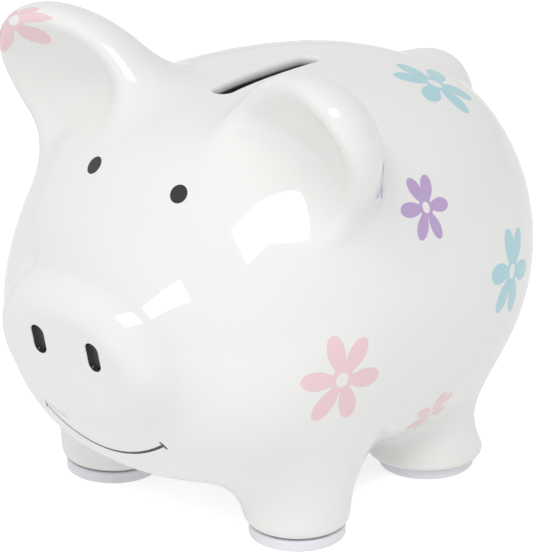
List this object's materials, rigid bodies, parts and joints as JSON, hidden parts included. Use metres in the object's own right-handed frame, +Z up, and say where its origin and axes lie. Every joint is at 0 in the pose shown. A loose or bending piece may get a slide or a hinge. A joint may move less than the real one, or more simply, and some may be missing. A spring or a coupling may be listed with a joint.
{
  "type": "ceramic piggy bank",
  "caption": "Glazed ceramic pig-shaped coin bank with floral decals, a coin slot in its back, a pull-out belly stopper and stick-on rubber foot pads.",
  "frame": {"origin": "on the ground, below the middle of the whole object's box", "axes": "+Z up, -Y towards the snout, +X towards the pig's left side"},
  "size_m": [0.1214, 0.1589, 0.129],
  "materials": {
    "glazed_ceramic_white": "gloss",
    "black_glaze": "gloss",
    "decal_pink": "gloss",
    "decal_purple": "gloss",
    "decal_blue": "gloss",
    "stopper_vinyl": "satin",
    "pad_rubber": "matte",
    "adhesive": "matte"
  },
  "bodies": {
    "bank": {"body_shell": "glazed_ceramic_white", "ear_left": "glazed_ceramic_white", "ear_right": "glazed_ceramic_white", "tail": "glazed_ceramic_white", "eye_left": "black_glaze", "eye_right": "black_glaze", "nostril_left": "black_glaze", "nostril_right": "black_glaze", "smile": "black_glaze", "foot_pad_front_left": "pad_rubber", "pad_adhesive_front_left": "adhesive", "foot_pad_front_right": "pad_rubber", "pad_adhesive_front_right": "adhesive", "foot_pad_rear_left": "pad_rubber", "pad_adhesive_rear_left": "adhesive", "foot_pad_rear_right": "pad_rubber", "pad_adhesive_rear_right": "adhesive", "flower_left_flank": "decal_pink", "flower_left_shoulder": "decal_purple", "flower_left_rump": "decal_blue", "flower_left_rear": "decal_blue", "flower_left_belly": "decal_pink", "flower_left_ear": "decal_purple", "flower_right_flank": "decal_blue", "flower_right_shoulder": "decal_pink", "flower_right_rump": "decal_purple", "flower_right_rear": "decal_pink", "flower_right_belly": "decal_purple", "flower_right_ear": "decal_pink", "flower_back": "decal_purple"},
    "stopper": {"stopper": "stopper_vinyl"}
  },
  "joints": [
    {"name": "stopper_slide", "type": "slide", "parent": "bank", "child": "stopper", "axis": [0, 0, -1], "range_m": [0, 0.02]}
  ]
}
